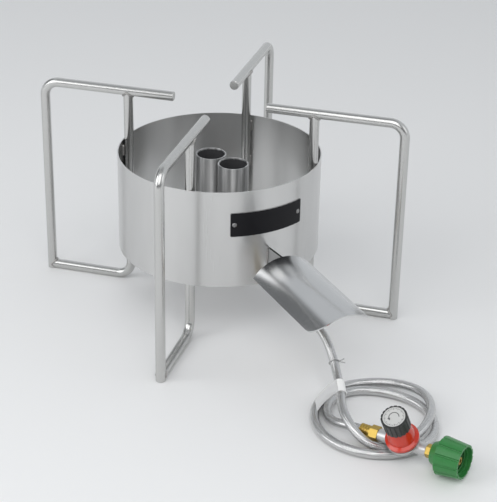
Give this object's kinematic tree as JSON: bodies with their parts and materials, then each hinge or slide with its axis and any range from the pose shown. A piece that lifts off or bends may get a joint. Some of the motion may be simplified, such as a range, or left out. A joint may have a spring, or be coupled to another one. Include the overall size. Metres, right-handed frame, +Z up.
{
  "type": "outdoor propane cooker",
  "caption": "Low outdoor propane cooker: welded round-rod stand with pot arms, steel wind ring, twin jet burner, arched heat shield, and a coiled hose with regulator and coupling nut.",
  "frame": {"origin": "on the floor under the middle of the wind ring", "axes": "+Z up; the legs stand on +X, +Y, -X and -Y; the name plate, heat shield and gas pipe point about halfway between +X and -Y"},
  "size_m": [0.7385, 0.6965, 0.324],
  "materials": {
    "stand_steel": "bright round bar",
    "ring_steel": "rolled sheet, fine brushing",
    "weld_steel": "weld metal and mild plate",
    "shield_steel": "rolled sheet, satin",
    "black_plate": "satin black, bare",
    "rivet_steel": "bright",
    "tube_steel": "drawn tube",
    "burner_steel": "mild steel",
    "pipe_steel": "drawn pipe",
    "brass": "turned",
    "hose_braid": "grey braid over rubber",
    "white_wrap": "matt film",
    "tie_wire": "coated wire",
    "zinc_cast": "die cast, tumbled",
    "red_paint": "gloss red",
    "black_plastic": "moulded, fluted",
    "white_plastic": "moulded",
    "green_plastic": "moulded",
    "inner_steel": "turned and plated",
    "rubber": "moulded sheet"
  },
  "bodies": {
    "cooker": {"right_leg_rod": "stand_steel", "right_brace_rod": "stand_steel", "rear_leg_rod": "stand_steel", "rear_brace_rod": "stand_steel", "left_leg_rod": "stand_steel", "left_brace_rod": "stand_steel", "front_leg_rod": "stand_steel", "front_brace_rod": "stand_steel", "wind_ring": "ring_steel", "ring_welds": "weld_steel", "shield_bracket": "weld_steel", "heat_shield": "shield_steel", "name_plate": "black_plate", "plate_rivets": "rivet_steel", "rear_jet_tube": "tube_steel", "front_jet_tube": "tube_steel", "rear_tube_yoke": "burner_steel", "front_tube_yoke": "burner_steel", "burner_block": "burner_steel", "burner_bar": "burner_steel", "block_bolts": "burner_steel", "gallery_plug": "burner_steel", "gas_pipe": "pipe_steel", "rear_gas_jet": "brass", "front_gas_jet": "brass", "inlet_elbow": "brass", "flare_adapter": "brass", "hose_tailpiece": "brass", "burner_ferrule": "brass", "regulator_ferrule": "brass", "outlet_fitting": "brass", "inlet_stem": "brass", "hose_riser": "hose_braid", "hose_coil": "hose_braid", "hose_band": "white_wrap", "hose_tag": "white_wrap", "hose_tie": "tie_wire", "regulator_body": "zinc_cast", "regulator_bonnet": "red_paint", "control_spring": "inner_steel", "diaphragm_plate": "inner_steel", "valve_poppet": "inner_steel", "diaphragm": "rubber"},
    "flare_nut": {"flare_nut": "brass"},
    "coupling_nut": {"coupling_nut": "green_plastic"},
    "pressure_knob": {"regulator_knob": "black_plastic", "knob_disc": "white_plastic", "adjusting_screw": "inner_steel"},
    "spring_button": {"spring_button": "inner_steel"}
  },
  "joints": [
    {"name": "pressure_knob_turn", "type": "hinge", "parent": "cooker", "child": "pressure_knob", "pos_m": [0.36355, -0.36269, 0.02305], "axis": [0.1943, 0.4327, -0.8804], "range_deg": [0, 1090]},
    {"name": "spring_button_slide", "type": "slide", "parent": "cooker", "child": "spring_button", "axis": [0.1943, 0.4327, -0.8804], "range_m": [0, 0.0045], "deforming": ["control_spring"]},
    {"name": "coupling_nut_turn", "type": "hinge", "parent": "cooker", "child": "coupling_nut", "pos_m": [0.42517, -0.38307, 0.02663], "axis": [0.948, -0.3135, 0.0551], "continuous": true},
    {"name": "flare_nut_turn", "type": "hinge", "parent": "cooker", "child": "flare_nut", "pos_m": [0.16746, -0.15895, 0.079], "axis": [0.7169, -0.6972, 0], "continuous": true}
  ],
  "couplings": [
    {"joint": "pressure_knob_turn", "follows": "spring_button_slide", "rad_per_m": 4188.8}
  ]
}
